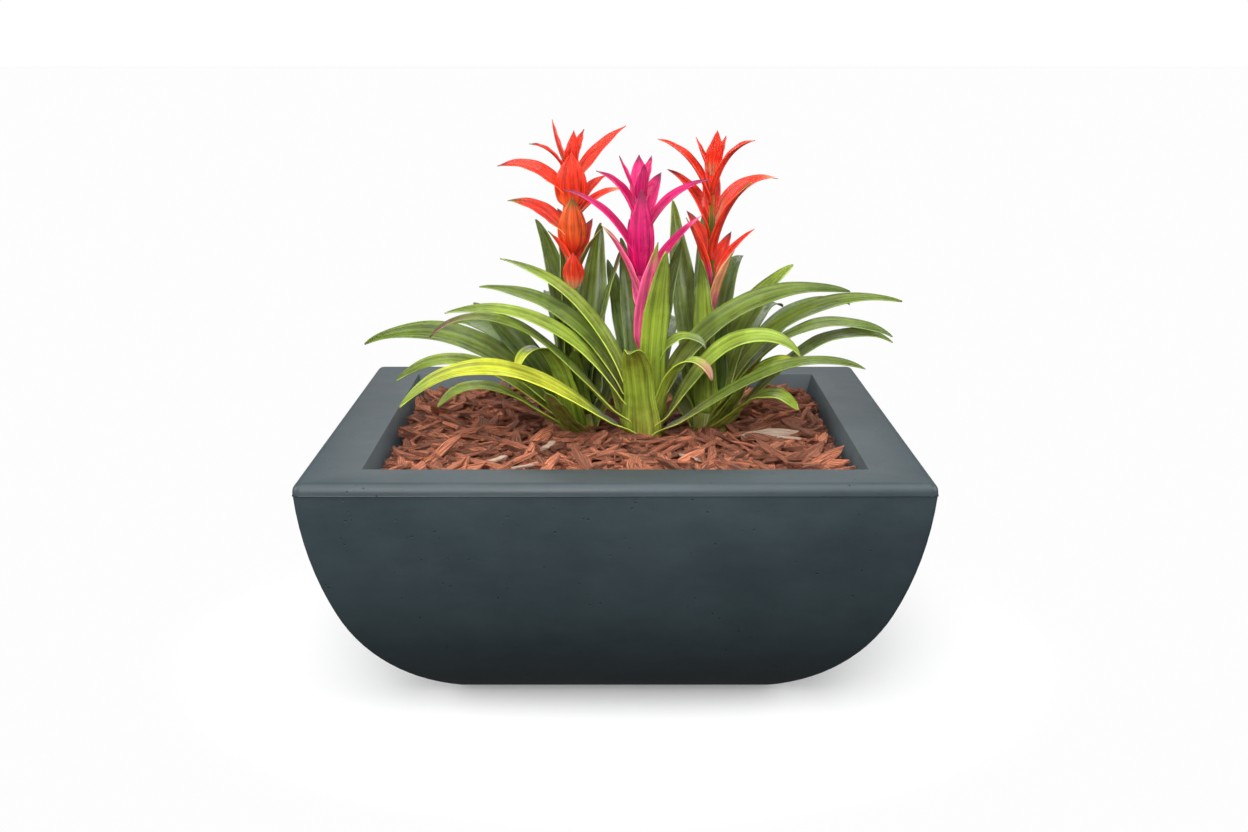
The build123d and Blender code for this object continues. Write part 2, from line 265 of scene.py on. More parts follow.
def level(edge, height):
    return all(abs(vert.co.z - height) < NEAR for vert in edge.verts)


def square_half(vert):
    """Half width of the square, centred on the bowl, that a vertex lies on."""
    return max(abs(vert.co.x), abs(vert.co.y))


def on_square(edge, half):
    return all(abs(square_half(vert) - half) < NEAR for vert in edge.verts)


def on_mitre(edge):
    """Whether an edge runs up a corner where two walls meet, below the lip."""
    return climbs(edge) and all(
        abs(abs(vert.co.x) - abs(vert.co.y)) < NEAR and vert.co.z < LIP_UNDER + NEAR for vert in edge.verts
    )


profile = [tuple(ring) for ring in wall_rings()[1:]]
profile += [(RIM_HALF, LIP_UNDER), (RIM_HALF, RIM_TOP)]
profile += [(cavity_half(RIM_TOP), RIM_TOP), (cavity_half(FLOOR_TOP), FLOOR_TOP)]
bowl = bmesh.new()
ground = Matrix.Translation((0, 0, FOOT_LEVEL))
bmesh.ops.create_grid(bowl, x_segments=1, y_segments=1, size=BASE_HALF, matrix=ground)
bowl.faces.ensure_lookup_table()
cap = bowl.faces[0]
for half, height in profile:
    cap = raise_ring(bowl, cap, half, height)
bmesh.ops.recalc_face_normals(bowl, faces=bowl.faces)

lip = [e for e in bowl.edges if on_square(e, RIM_HALF) and (level(e, RIM_TOP) or climbs(e))]
soften(bowl, lip, LIP_ROUND, 6)
mitres = [e for e in bowl.edges if on_mitre(e) and e.calc_face_angle(0) > MITRE_SHARP]
soften(bowl, mitres, MITRE_ROUND, 4)
outside = RIM_HALF - LIP_STEP / 2
lip_underside = [
    e for e in bowl.edges if level(e, LIP_UNDER) and all(square_half(vert) > outside for vert in e.verts)
]
soften(bowl, lip_underside, LIP_SHADOW_LINE, 2)
mouth = [e for e in bowl.edges if level(e, RIM_TOP) and on_square(e, cavity_half(RIM_TOP))]
soften(bowl, mouth, RIM_INNER_ROUND, 2)
foot_edge = [e for e in bowl.edges if level(e, FOOT_LEVEL) and e.calc_face_angle(0) > SHARP]
soften(bowl, foot_edge, FOOT_ROUND, 3)
crease(bowl, SMOOTH_BELOW)

concrete = Finish("charcoal_concrete", Metallic=0.0, Specular_IOR_Level=0.42)
spot = concrete.place()
cloudy = spot.noise(6.5, 5.0, 0.60).ramp(0.30, 0.70)
wisps = spot.stretch(1, 1, 2.4).noise(17.0, 5.0, 0.65).ramp(0.30, 0.70)
grit = spot.noise(420.0, 2.0)
sprinkled = spot.noise(24.0, 2.0).ramp(0.50, 0.60)
pores = (1 - spot.cells(85.0).ramp(0.06, 0.13)) * sprinkled
clouds = cloudy * 0.55 + wisps * 0.35 + grit * 0.10
slate = clouds.tint((0.027, 0.040, 0.046, 1), (0.040, 0.058, 0.066, 1))
concrete.paint(Base_Color=slate.shade(1.0 - pores * 0.75), Roughness=0.37 + cloudy * 0.10 + grit * 0.08)
concrete.bump(cloudy * 0.25 + wisps * 0.15 + grit * 0.05 - pores * 0.8, 0.0007)
bowl_piece = settle(bowl, "bowl", concrete.material, "bowl_shell")

DRILL_LENGTH = 0.2
drill = bmesh.new()
bmesh.ops.create_cone(
    drill, cap_ends=True, segments=48, radius1=DRAIN_RADIUS, radius2=DRAIN_RADIUS, depth=DRILL_LENGTH
)
drill_mesh = bpy.data.meshes.new("drain_drill")
drill.to_mesh(drill_mesh)
drill.free()
drill_piece = bpy.data.objects.new("drain_drill", drill_mesh)
bpy.context.scene.collection.objects.link(drill_piece)
cut = bowl_piece.modifiers.new("drain", "BOOLEAN")
cut.operation = "DIFFERENCE"
cut.object = drill_piece
cut.solver = "EXACT"
bpy.context.view_layer.update()
drained = bpy.data.meshes.new_from_object(bowl_piece.evaluated_get(bpy.context.evaluated_depsgraph_get()))
bowl_piece.modifiers.clear()
bowl_piece.data = drained
bpy.data.objects.remove(drill_piece)

# ---------------------------------------------------------------------------------------------
# What stays inside or under the bowl: rubber pads glued to the foot, a plastic screen over the
# drain, a layer of gravel, a sheet of non-woven filter cloth, potting mix and three root balls.
# ---------------------------------------------------------------------------------------------


def refinish(node, material):
    """Gives a CAD node that keeps its own shape a better finish."""
    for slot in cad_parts[node].material_slots:
        slot.material = material


rubber = Finish("black_rubber", Metallic=0.0)
spot = rubber.place()
scuff = spot.noise(160.0, 3.0)
black = scuff.tint((0.018, 0.018, 0.018, 1), (0.045, 0.045, 0.045, 1))
rubber.paint(Base_Color=black, Roughness=0.72 + scuff * 0.2)
rubber.bump(scuff, 0.0003)
refinish("foot_pads", rubber.material)

screen = Finish("black_mesh_plastic", Metallic=0.0)
spot = screen.place()
weave = spot.cells(900.0)
screen.paint(Base_Color=weave.tint((0.02, 0.02, 0.02, 1), (0.07, 0.07, 0.07, 1)), Roughness=0.5 + weave * 0.3)
screen.bump(weave, 0.0003)
refinish("drain_screen", screen.material)

gravel = Finish("drainage_gravel", Metallic=0.0)
spot = gravel.place()
stones = spot.cells(95.0)
kinds = spot.cells(95.0, "Color")
one_of_many = kinds.node("ShaderNodeSeparateColor", {"Color": kinds})
pebbles = one_of_many.tint((0.16, 0.14, 0.12, 1), (0.50, 0.47, 0.42, 1))
gravel.paint(Base_Color=pebbles, Roughness=0.75 + stones * 0.2)
gravel.bump(1 - stones, 0.006)
refinish("drainage_gravel", gravel.material)

soil = Finish("potting_mix", Metallic=0.0)
spot = soil.place()
crumbs = spot.noise(140.0, 8.0, 0.7)
beads = 1 - spot.cells(190.0).ramp(0.10, 0.18)
perlite = beads * spot.noise(60.0).ramp(0.58, 0.66)
peat = perlite.tint((0.030, 0.018, 0.010, 1), (0.45, 0.43, 0.38, 1))
soil.paint(Base_Color=peat, Roughness=0.8 + crumbs * 0.2)
soil.bump(crumbs, 0.004)
refinish("potting_soil", soil.material)
for plant_name in ("front_plant", "left_plant", "right_plant"):
    refinish(f"{plant_name}_root_ball", soil.material)

CLOTH_LOW, CLOTH_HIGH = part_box("filter_fabric")
CLOTH_THICKNESS = 0.0016
CLOTH_CLEAR = 0.0008
CLOTH_CELLS = 60
CLOTH_RIPPLE = 0.0002
RIPPLES_PER_METRE = 22
cloth_half = cavity_half(CLOTH_LOW[2]) - CLOTH_CLEAR
cloth_bm = bmesh.new()
cloth_uv = cloth_bm.loops.layers.uv.new("UVMap")
bmesh.ops.create_grid(cloth_bm, x_segments=CLOTH_CELLS, y_segments=CLOTH_CELLS, size=cloth_half)
for face in cloth_bm.faces:
    face.smooth = True
    for loop in face.loops:
        loop[cloth_uv].uv = loop.vert.co.xy
for vert in cloth_bm.verts:
    ripple = CLOTH_RIPPLE * noise.noise(vert.co * RIPPLES_PER_METRE)
    vert.co.z = (CLOTH_LOW[2] + CLOTH_HIGH[2]) / 2 + ripple
cloth = Finish("filter_cloth", Metallic=0.0)
threads = cloth.uv().noise(900.0, 5.0, 0.8)
felt = threads.tint((0.36, 0.36, 0.34, 1), (0.66, 0.66, 0.63, 1))
cloth.paint(Base_Color=felt, Roughness=0.85 + threads * 0.1)
cloth.bump(threads, 0.0005)
cloth_piece = settle(cloth_bm, "filter_cloth", cloth.material, "filter_fabric")
thick = cloth_piece.modifiers.new("thickness", "SOLIDIFY")
thick.thickness = CLOTH_THICKNESS
thick.offset = 0
2 * cloth_half
2 * cloth_half

# ---------------------------------------------------------------------------------------------
# The mulch. A bed of shredded red-brown bark heaped loosely to just under the rim: splintered
# chips with fibres along their length, thin slivers between them and a few weathered pale ones.
# ---------------------------------------------------------------------------------------------
BED_LOW, BED_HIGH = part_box("bark_mulch")
BED_EDGE_DROP = 0.004
BED_BANK = 0.040
BED_SINK = 0.004
BED_LUMPS = ((0.0045, 26, 3), (0.003, 60, 9))
BED_CELLS = 84
BED_CLEAR = 0.001
BED_LIFT = 0.0003
CHIP_KINDS = 9
CHIP_TOTAL = 1750
SLIVER_TOTAL = 1500
CHIP_STEPS = 4
CHIP_ROLL = 0.35
WALL_CLEAR = 0.001
WALL_SPREAD = 0.002
END_CLEAR = 0.003
TIP_LIFT = 0.25
PALE_LIFT = 0.018
PALE_TILT = radians(14)
FEET = ((0.040, -0.025), (-0.050, 0.015), (0.132, 0.025))
random.seed(7)


def bed_height(x, y):
    """Height of the heaped bed: level in the middle, falling raggedly to the walls."""
    inset = cavity_half(BED_HIGH[2]) - max(abs(x), abs(y))
    bank = max(0.0, 1 - inset / BED_BANK)
    lumps = sum(high * noise.noise(Vector((x * pace, y * pace, layer))) for high, pace, layer in BED_LUMPS)
    return BED_HIGH[2] - BED_SINK + lumps - BED_EDGE_DROP * bank * bank


bed = bmesh.new()
bed_half = cavity_half(BED_HIGH[2] - BED_EDGE_DROP) - BED_CLEAR
bmesh.ops.create_grid(bed, x_segments=BED_CELLS, y_segments=BED_CELLS, size=bed_half)
for vert in bed.verts:
    vert.co.z = bed_height(vert.co.x, vert.co.y)
under = only(bmesh.ops.extrude_face_region(bed, geom=list(bed.faces))["geom"], bmesh.types.BMVert)
shrink = (cavity_half(BED_LOW[2]) - BED_CLEAR) / bed_half
for vert in under:
    vert.co = (vert.co.x * shrink, vert.co.y * shrink, BED_LOW[2] + BED_LIFT)
bmesh.ops.recalc_face_normals(bed, faces=bed.faces)
for face in bed.faces:
    face.smooth = True

litter = Finish("bark_litter", Metallic=0.0)
spot = litter.place()
crumble = spot.noise(210.0, 7.0, 0.7)
flakes = spot.cells(120.0)
crumbs = crumble * 0.7 + flakes * 0.5
litter.paint(
    Base_Color=crumbs.tint((0.020, 0.008, 0.005, 1), (0.15, 0.052, 0.028, 1)),
    Roughness=0.8 + crumble * 0.2,
)
litter.bump(crumble + flakes, 0.005)
bed_piece = settle(bed, "mulch_bed", litter.material, "bark_mulch")

bark = Finish("shredded_bark", Metallic=0.0)
fibre = bark.uv().stretch(2.6, 15.0, 1.0).noise(1.0, 6.0, 0.65).ramp(0.32, 0.68)
coarse = bark.uv().stretch(1.2, 8.0, 1.0).noise(1.3, 4.0, 0.6)
tone = bark.stored("tone", "Fac")
worn = (fibre * 0.55 + coarse * 0.45).ramp(0.25, 0.72)
red = worn.tint((0.075, 0.022, 0.012, 1), (0.70, 0.230, 0.110, 1))
bark.paint(Base_Color=red.shade(0.55 + tone * 1.15), Roughness=0.60 + fibre * 0.3)
bark.bump(fibre * 0.8 + coarse * 0.6, 0.0026)

weathered = Finish("weathered_bark", Metallic=0.0)
fibre = weathered.uv().stretch(2.6, 14.0, 1.0).noise(1.0, 6.0, 0.7)
tone = weathered.stored("tone", "Fac")
worn = fibre.ramp(0.32, 0.60)
grey = worn.tint((0.22, 0.13, 0.085, 1), (0.60, 0.44, 0.33, 1))
weathered.paint(Base_Color=grey.shade(0.7 + tone * 0.5), Roughness=0.7 + fibre * 0.25)
weathered.bump(fibre, 0.0016)


def splinter(seed):
    """One chip shape, 1 long, 1 wide and 1 thick, with slanting split ends and a fibrous outline."""
    chance = random.Random(seed)
    bm = bmesh.new()
    uv = bm.loops.layers.uv.new("UVMap")
    bm.verts.layers.float.new("tone")
    bmesh.ops.create_cube(bm, size=1.0)
    long_edges = [e for e in bm.edges if abs(e.verts[0].co.x - e.verts[1].co.x) > 0.5]
    bmesh.ops.subdivide_edges(bm, edges=long_edges, cuts=CHIP_STEPS - 1)
    for face in bm.faces:
        for loop in face.loops:
            at = loop.vert.co
            loop[uv].uv = (at.x + 7 * seed, at.y + at.z)
    slant = chance.uniform(-0.16, 0.16), chance.uniform(-0.16, 0.16)
    waist = [chance.uniform(0.72, 1.1) for step in range(CHIP_STEPS + 1)]
    drift = [chance.uniform(-0.12, 0.12) for step in range(CHIP_STEPS + 1)]
    for vert in bm.verts:
        step = round((vert.co.x + 0.5) * CHIP_STEPS)
        at_end = step in (0, CHIP_STEPS)
        narrow = waist[step] * (0.45 if at_end else 1.0)
        cut = slant[0] if vert.co.x < 0 else slant[1]
        vert.co.x += cut * vert.co.y * (1 if at_end else 0.3) + chance.uniform(-0.03, 0.03)
        vert.co.y = vert.co.y * narrow + drift[step] + chance.uniform(-0.05, 0.05)
        vert.co.z = vert.co.z * chance.uniform(0.55, 1.1) + 0.25 * drift[step]
    mesh = bpy.data.meshes.new("splinter")
    bm.to_mesh(mesh)
    bm.free()
    return mesh


def lay_chip(heap, kind, tone, lay):
    """Adds a copy of a chip shape to the heap, in its place."""
    chip = kind.copy()
    chip.transform(lay)
    chip.attributes["tone"].data.foreach_set("value", [tone] * len(chip.vertices))
    heap.from_mesh(chip)
    bpy.data.meshes.remove(chip)


def scatter(total, lengths, widths, thicknesses, tilt, lift, bare):
    """A bmesh of loose chips tipped over the bed, kept off the walls and the plants' necks."""
    heap = bmesh.new()
    for count in range(total):
        length, width = random.uniform(*lengths), random.uniform(*widths)
        turn, tip = random.uniform(0, pi), random.gauss(0, tilt)
        half = cavity_half(BED_HIGH[2]) - WALL_CLEAR - abs(random.gauss(0, WALL_SPREAD))
        x = random.uniform(-half, half)
        y = random.uniform(-half, half)
        reach_x = max(0.0, half - length / 2 * abs(cos(turn)) - END_CLEAR)
        reach_y = max(0.0, half - length / 2 * abs(sin(turn)) - END_CLEAR)
        x, y = max(-reach_x, min(reach_x, x)), max(-reach_y, min(reach_y, y))
        if any(hypot(x - foot[0], y - foot[1]) < bare for foot in FEET):
            continue
        height = bed_height(x, y) + random.uniform(*lift) + abs(tip) * length * TIP_LIFT
        lay = Matrix.Translation((x, y, height)) @ Matrix.Rotation(turn, 4, "Z")
        lay = lay @ Matrix.Rotation(tip, 4, "Y")
        lay = lay @ Matrix.Rotation(random.gauss(0, CHIP_ROLL), 4, "X")
        lay = lay @ Matrix.Diagonal((length, width, random.uniform(*thicknesses), 1))
        lay_chip(heap, CHIP_SHAPES[count % CHIP_KINDS], random.random(), lay)
    return heap


CHIP_SHAPES = [splinter(seed) for seed in range(CHIP_KINDS)]
chips = scatter(
    CHIP_TOTAL,
    lengths=(0.036, 0.086),
    widths=(0.009, 0.020),
    thicknesses=(0.003, 0.0065),
    tilt=0.16,
    lift=(-0.001, 0.011),
    bare=0.030,
)
chips_piece = settle(chips, "bark_chips_loose", bark.material, "bark_chips")
slivers = scatter(
    SLIVER_TOTAL,
    lengths=(0.014, 0.040),
    widths=(0.002, 0.006),
    thicknesses=(0.0012, 0.003),
    tilt=0.30,
    lift=(0.001, 0.014),
    bare=0.028,
)
slivers_piece = settle(slivers, "bark_slivers", bark.material, "bark_chips")

PALE_CHIPS = (
    (0.212, -0.048, 0.074, 0.024, 0.007, 8), (-0.088, -0.118, 0.044, 0.009, 0.004, 70),
    (0.096, -0.190, 0.040, 0.008, 0.004, 125), (-0.150, -0.205, 0.034, 0.006, 0.003, 52),
    (-0.110, -0.240, 0.046, 0.005, 0.003, 38), (0.235, -0.075, 0.030, 0.011, 0.004, 160),
)
pale = bmesh.new()
for number, (x, y, length, width, thickness, turn) in enumerate(PALE_CHIPS):
    lay = Matrix.Translation((x, y, bed_height(x, y) + PALE_LIFT)) @ Matrix.Rotation(radians(turn), 4, "Z")
    lay = lay @ Matrix.Rotation(PALE_TILT, 4, "X") @ Matrix.Diagonal((length, width, thickness, 1))
    lay_chip(pale, CHIP_SHAPES[number], 0.3 + 0.1 * number, lay)
pale_piece = settle(pale, "weathered_chips", weathered.material, "pale_chips")

# ---------------------------------------------------------------------------------------------
# How a leaf grows. Each one is a flat strap that clasps the plant at its foot, is folded to a
# shallow gutter, bends over from its rise to its tip and rolls on to its side.
# ---------------------------------------------------------------------------------------------
GROUND = BED_HIGH[2]
SOIL_TOP = BED_LOW[2]
CROWN_RADIUS = 0.026
CROWN_TOP_RADIUS = 0.012
CROWN_HEIGHT = 0.060
STALK_RADIUS = 0.006
STALK_TOP_RADIUS = 0.004
STALK_OVERLAP = 0.01
ROLL_END = 0.35
CLASP_GAP = 0.0004
CLASP_FLARE = 0.0015
CLASP_END = 0.14
WRAP_MOST = 1.3
GUTTER_FULL = 0.15
BLADE_WIDTH = 1.12
SHEATH_WIDTH = 0.55
SHEATH_END = 0.35
POINT_START = 0.62
BRACT_WIDTH = 1.06
BRACT_FOOT = 0.66
BRACT_WIDEST = 0.4
BASE_LAPS = 5
LAP_CLIMB = 2.2
LAP_DEPTH = 0.07
LAYERS = ("foot_tint", "blade_tint", "tip_tint")
TINTS = {
    "deep": (0.090, 0.150, 0.012),
    "mid": (0.140, 0.210, 0.016),
    "light": (0.280, 0.390, 0.035),
    "lime": (0.600, 0.640, 0.035),
    "pale": (0.330, 0.360, 0.050),
    "grey": (0.300, 0.390, 0.190),
    "straw": (0.430, 0.370, 0.150),
    "brown": (0.130, 0.075, 0.035),
    "blush": (0.620, 0.290, 0.190),
    "magenta": (0.660, 0.006, 0.135),
    "pink": (0.930, 0.100, 0.260),
    "dusk": (0.240, 0.010, 0.070),
    "beige": (0.420, 0.380, 0.150),
    "red": (0.940, 0.038, 0.012),
    "orange": (0.900, 0.110, 0.018),
    "salmon": (0.800, 0.300, 0.150),
    "maroon": (0.210, 0.018, 0.012),
    "olive": (0.150, 0.140, 0.025),
}


def strap_share(share):
    """Width of a leaf along its length: a broad sheath, a parallel blade, then a drawn-out point."""
    if share < POINT_START:
        return BLADE_WIDTH + SHEATH_WIDTH * max(0.0, 1 - share / SHEATH_END)
    return max(0.05, BLADE_WIDTH * ((1 - share) / (1 - POINT_START)) ** 0.62)


def boat_share(share):
    """Width of a bract along its length: widest at two fifths, pointed at the tip."""
    if share < BRACT_WIDEST:
        return BRACT_FOOT + (BRACT_WIDTH - BRACT_FOOT) * sin(pi / 2 * share / BRACT_WIDEST)
    return max(0.04, BRACT_WIDTH * (1 - ((share - BRACT_WIDEST) / (1 - BRACT_WIDEST)) ** 1.9))


def heading(azimuth, angle):
    """Unit vector at an azimuth, and at an angle above the horizon, in degrees."""
    turn, rise = radians(azimuth), radians(angle)
    return Vector((cos(rise) * cos(turn), cos(rise) * sin(turn), sin(rise)))


def axis_at(plant, height):
    """Point on a plant's leaning axis, at a height above the mulch in metres."""
    x, y = plant["foot"]
    return Vector((x / 1000 + plant["lean"] * height, y / 1000, GROUND + height))


def ease(share, end):
    """1 at the foot, falling smoothly to 0 at the end."""
    left = max(0.0, 1 - share / end)
    return left * left * (3 - 2 * left)


def grow(bm, plant, row, seat, make, chance):
    """Lays one grid out as a leaf or bract along its bending midrib, with its clasping foot."""
    azimuth, height, length, width, rise, tip, bend, roll, tints = row
    height, length, width = height / 1000, length / 1000, width / 1000
    across, along = make["cells"]
    inks = [TINTS[name] + (1,) for name in tints.split()]
    layers = [bm.verts.layers.float_color[name] for name in LAYERS]
    tones = bm.verts.layers.float["tone"]
    uv = bm.loops.layers.uv["UVMap"]
    rib = [axis_at(plant, height) + heading(azimuth, 0) * (seat + CLASP_GAP)]
    for step in range(along):
        angle = rise + (tip - rise) * ((step + 0.5) / along) ** bend
        rib.append(rib[-1] + heading(azimuth, angle) * (length / along))
    verts = bmesh.ops.create_grid(bm, x_segments=across, y_segments=along, size=1.0)["verts"]
    for face in {face for vert in verts for face in vert.link_faces}:
        face.smooth = True
        for loop in face.loops:
            loop[uv].uv = ((loop.vert.co.x + 1) / 2, (loop.vert.co.y + 1) / 2)
    phase, ripples, tone = chance.uniform(0, 6), chance.uniform(2.5, 4.5), chance.random()
    for vert in verts:
        side, share = vert.co.x, (vert.co.y + 1) / 2
        step = round(share * along)
        angle = rise + (tip - rise) * share**bend
        ahead, up = heading(azimuth, angle), heading(azimuth, angle + 90)
        over = radians(roll) * min(1, share / ROLL_END)
        up = up * cos(over) + ahead.cross(up) * sin(over)
        half = width * make["outline"](share) / 2
        lift = make["gutter"] * half * abs(side) ** 1.35 * (0.4 + 0.6 * min(1, share / GUTTER_FULL))
        lift += make["wave"] * abs(side) ** 2 * sin(ripples * 2 * pi * share + phase + side) * share
        spread = rib[step] + up.cross(ahead) * (side * half) + up * lift
        radius = seat + CLASP_GAP + CLASP_FLARE * share
        wrap = side * min(WRAP_MOST, half / radius)
        trunk = axis_at(plant, rib[step].z - GROUND)
        clasp = trunk + heading(azimuth, 0) * (radius * cos(wrap))
        clasp += heading(azimuth + 90, 0) * (radius * sin(wrap))
        vert.co = spread.lerp(clasp, ease(share, CLASP_END))
        vert[tones] = tone
        for layer, ink in zip(layers, inks):
            vert[layer] = ink


def seat_radius(plant, ring, height):
    """How far from the axis a leaf or bract sits, at a height above the mulch in metres."""
    if "leaves" in ring:
        return CROWN_RADIUS + (CROWN_TOP_RADIUS - CROWN_RADIUS) * height / CROWN_HEIGHT
    climb = (height - CROWN_HEIGHT) / (plant["stalk_top"] / 1000 - CROWN_HEIGHT)
    return STALK_RADIUS + (STALK_TOP_RADIUS - STALK_RADIUS) * climb


def ring_of_blades(name, plant, ring, make, material):
    """All the leaves or bracts of one ring of a plant, as one piece."""
    bm = bmesh.new()
    bm.loops.layers.uv.new("UVMap")
    for layer in LAYERS:
        bm.verts.layers.float_color.new(layer)
    bm.verts.layers.float.new("tone")
    chance = random.Random(name + ring)
    for row in plant[ring]:
        grow(bm, plant, row, seat_radius(plant, ring, row[1] / 1000), make, chance)
    piece = settle(bm, f"{name}_{ring}_grown", material, f"{name}_{ring}")
    body = piece.modifiers.new("thickness", "SOLIDIFY")
    body.thickness = make["thickness"]
    body.offset = -1


def blade_finish(name, gloss, rib_depth, glow):
    """Waxy plant tissue: three tints along the blade, fine parallel veins, broad streaks that are partly real
    striation and partly painted sheen, and cloudy patches.
    """
    finish = Finish(
        name,
        Metallic=0.0,
        Subsurface_Weight=glow,
        Subsurface_Scale=0.012,
        Coat_Weight=0.35,
        Coat_Roughness=0.16,
    )
    across = finish.uv()
    length = across.node("ShaderNodeSeparateXYZ", {"Vector": across}, output=1)
    side = across.node("ShaderNodeSeparateXYZ", {"Vector": across}, output=0)
    tone = finish.stored("tone", "Fac")
    veins = across.stretch(66, 1.3, 1).noise(1.0, 3.0, 0.6).ramp(0.34, 0.66)
    # Broad streaks along the blade: partly real striation, partly painted sheen that lightens the colour.
    striation_and_sheen = across.stretch(8, 1.0, 1).noise(1.0, 2.0, 0.5).ramp(0.34, 0.66)
    patches = finish.place().noise(26.0, 3.0, 0.5).ramp(0.30, 0.70)
    colour = length.ramp(0.04, 0.42).tint(finish.stored("foot_tint"), finish.stored("blade_tint"))
    colour = length.ramp(0.72, 0.98).tint(colour, finish.stored("tip_tint"))
    edge = (side - 0.5).size() * 2
    # The broad streaks' strong lightening here is partly painted sheen.
    shade = 0.12 + veins * 0.36 + striation_and_sheen * 0.72 + patches * 0.40 + tone * 0.24 + edge.ramp(0.84, 1.0) * 0.40
    finish.paint(Base_Color=colour.shade(shade), Roughness=gloss + veins * 0.08 + patches * 0.10)
    finish.bump(veins * 0.5 + striation_and_sheen * 0.6, rib_depth)
    return finish.material


leaf_skin = blade_finish("bromeliad_leaf", 0.17, 0.0012, 0.08)
bract_skin = blade_finish("bromeliad_bract", 0.22, 0.0008, 0.20)


def core(name, plant, ring, low, high, foot_radius, top_radius, tints):
    """A tapered round core of a plant, ridged by what clasps it, as one piece."""
    inks = dict(zip(LAYERS, tints.split()))
    bm = bmesh.new()
    uv = bm.loops.layers.uv.new("UVMap")
    tones = bm.verts.layers.float.new("tone")
    layers = {layer: bm.verts.layers.float_color.new(layer) for layer in inks}
    bmesh.ops.create_cone(bm, cap_ends=True, segments=36, radius1=1.0, radius2=1.0, depth=1.0)
    walls = [e for e in bm.edges if abs(e.verts[0].co.z - e.verts[1].co.z) > 0.5]
    bmesh.ops.subdivide_edges(bm, edges=walls, cuts=22)
    for face in bm.faces:
        face.smooth = len(face.verts) == 4
        for loop in face.loops:
            around = atan2(loop.vert.co.y, loop.vert.co.x) / (2 * pi) + 0.5
            loop[uv].uv = (around, loop.vert.co.z + 0.5)
    for vert in bm.verts:
        share = vert.co.z + 0.5
        turn = atan2(vert.co.y, vert.co.x)
        height = low + (high - low) * share
        climb = max(0.0, height / high) if ring == "crown" else share
        radius = foot_radius + (top_radius - foot_radius) * climb
        overlap = (turn / (2 * pi) * BASE_LAPS + share * LAP_CLIMB) % 1
        radius *= 1 - LAP_DEPTH + LAP_DEPTH * overlap
        vert.co = axis_at(plant, max(0.0, height)) + heading(degrees(turn), 0) * radius
        vert.co.z = GROUND + height
        for layer, ink in inks.items():
            vert[layers[layer]] = TINTS[ink] + (1,)
        vert[tones] = 0.5
    piece = settle(bm, f"{name}_{ring}_grown", leaf_skin, f"{name}_{ring}")


LEAF = {"cells": (12, 54), "outline": strap_share, "gutter": 0.26, "wave": 0.0011, "thickness": 0.0013}
BRACT = {"cells": (10, 34), "outline": boat_share, "gutter": 0.42, "wave": 0.0006, "thickness": 0.0010}


def plant_out(name, plant):
    """One bromeliad: the crown of clasped leaf bases, the stalk, two rings of leaves and two of bracts."""
    buried, neck = SOIL_TOP - GROUND, CROWN_HEIGHT - STALK_OVERLAP
    core(name, plant, "crown", buried, CROWN_HEIGHT, CROWN_RADIUS, CROWN_TOP_RADIUS, "straw pale mid")
    core(
        name,
        plant,
        "flower_stalk",
        neck,
        plant["stalk_top"] / 1000,
        STALK_RADIUS,
        STALK_TOP_RADIUS,
        plant["stalk_tints"],
    )
    for ring in ("outer_leaves", "inner_leaves"):
        ring_of_blades(name, plant, ring, LEAF, leaf_skin)
    for ring in ("lower_bracts", "upper_bracts"):
        ring_of_blades(name, plant, ring, BRACT, bract_skin)


